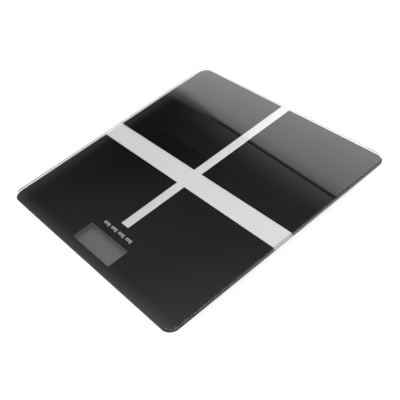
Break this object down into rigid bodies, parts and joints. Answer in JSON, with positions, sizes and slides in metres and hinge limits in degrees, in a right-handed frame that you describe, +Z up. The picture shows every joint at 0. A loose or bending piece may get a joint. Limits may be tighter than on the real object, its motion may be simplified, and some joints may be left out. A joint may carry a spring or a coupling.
{
  "type": "digital bathroom scale",
  "caption": "Square glass-top electronic bathroom scale with an LCD window, printed cross, round load-cell feet and a battery housing underneath.",
  "frame": {"origin": "on the floor under the centre of the glass", "axes": "+Z up, +Y towards the display end, +X to the right of a person who stands on the glass and reads the display"},
  "size_m": [0.3, 0.3, 0.025],
  "materials": {
    "clear_glass": "tempered float glass, polished, ground edges",
    "black_ink": "black ceramic ink printed on the back of the glass",
    "silver_ink": "silver ink printed on the back of the glass",
    "white_ink": "white ink printed on the back of the glass",
    "black_abs": "moulded black ABS, fine texture",
    "grey_button": "moulded grey ABS",
    "foam_tape": "double-sided acrylic foam tape",
    "label_foil": "blank silver polyester label",
    "grey_plastic": "moulded grey ABS",
    "lcd_glass": "reflective LCD, switched off",
    "reflector_film": "satin reflector film",
    "conductive_rubber": "layered silicone rubber",
    "board_laminate": "glass-epoxy laminate with green solder mask",
    "epoxy": "black epoxy",
    "components": "ceramic and plastic component bodies",
    "screw_steel": "zinc-plated steel",
    "switch_metal": "tinned steel cap",
    "switch_plunger_plastic": "black nylon",
    "cell_jacket": "shrink sleeve with plain bands, steel ends",
    "nickel_steel": "nickel-plated spring steel",
    "lead_insulation": "PVC-covered stranded leads",
    "foot_plastic": "moulded dark ABS",
    "pad_rubber": "anti-slip rubber",
    "cell_steel": "stamped spring steel, nickel plated",
    "gauge_foil": "foil strain gauge on polyimide"
  },
  "bodies": {
    "platform": {"battery_far": "cell_jacket", "battery_leads": "lead_insulation", "battery_near": "cell_jacket", "black_print": "black_ink", "board_components": "components", "board_screws": "screw_steel", "cell_wires_front_left": "lead_insulation", "cell_wires_front_right": "lead_insulation", "cell_wires_rear_left": "lead_insulation", "cell_wires_rear_right": "lead_insulation", "chip_blob": "epoxy", "circuit_board": "board_laminate", "contact_plates": "nickel_steel", "contact_springs": "nickel_steel", "electronics_housing": "black_abs", "foot_housing_front_left": "black_abs", "foot_housing_front_right": "black_abs", "foot_housing_rear_left": "black_abs", "foot_housing_rear_right": "black_abs", "foot_tapes": "foam_tape", "glass_platform": "clear_glass", "housing_tape": "foam_tape", "lcd_frame": "grey_plastic", "lcd_panel": "lcd_glass", "lcd_reflector": "reflector_film", "load_cell_front_left": "cell_steel", "load_cell_front_right": "cell_steel", "load_cell_rear_left": "cell_steel", "load_cell_rear_right": "cell_steel", "print_marks": "white_ink", "rating_label": "label_foil", "silver_print": "silver_ink", "strain_gauge_front_left": "gauge_foil", "strain_gauge_front_right": "gauge_foil", "strain_gauge_rear_left": "gauge_foil", "strain_gauge_rear_right": "gauge_foil", "tact_switch": "switch_metal", "wire_cover_front_left": "black_abs", "wire_cover_front_right": "black_abs", "wire_cover_rear_left": "black_abs", "wire_cover_rear_right": "black_abs", "zebra_strip": "conductive_rubber"},
    "foot_front_left": {"foot_base_front_left": "foot_plastic", "foot_pad_front_left": "pad_rubber"},
    "foot_front_right": {"foot_base_front_right": "foot_plastic", "foot_pad_front_right": "pad_rubber"},
    "foot_rear_left": {"foot_base_rear_left": "foot_plastic", "foot_pad_rear_left": "pad_rubber"},
    "foot_rear_right": {"foot_base_rear_right": "foot_plastic", "foot_pad_rear_right": "pad_rubber"},
    "battery_door": {"battery_door": "black_abs"},
    "unit_button": {"unit_button": "grey_button", "switch_plunger": "switch_plunger_plastic"}
  },
  "joints": [
    {"name": "foot_front_left_press", "type": "slide", "parent": "platform", "child": "foot_front_left", "axis": [0, 0, 1], "range_m": [0, 0.0006], "stiffness_N_per_m": 6000, "springref_m": -0.0008, "deforming": ["load_cell_front_left"]},
    {"name": "foot_front_right_press", "type": "slide", "parent": "platform", "child": "foot_front_right", "axis": [0, 0, 1], "range_m": [0, 0.0006], "stiffness_N_per_m": 6000, "springref_m": -0.0008, "deforming": ["load_cell_front_right"]},
    {"name": "foot_rear_left_press", "type": "slide", "parent": "platform", "child": "foot_rear_left", "axis": [0, 0, 1], "range_m": [0, 0.0006], "stiffness_N_per_m": 6000, "springref_m": -0.0008, "deforming": ["load_cell_rear_left"]},
    {"name": "foot_rear_right_press", "type": "slide", "parent": "platform", "child": "foot_rear_right", "axis": [0, 0, 1], "range_m": [0, 0.0006], "stiffness_N_per_m": 6000, "springref_m": -0.0008, "deforming": ["load_cell_rear_right"]},
    {"name": "battery_door_slide", "type": "slide", "parent": "platform", "child": "battery_door", "axis": [0, -1, 0], "range_m": [0, 0.032]},
    {"name": "unit_button_press", "type": "slide", "parent": "platform", "child": "unit_button", "axis": [0, 0, 1], "range_m": [0, 0.0006], "stiffness_N_per_m": 1500, "springref_m": -0.0002}
  ]
}
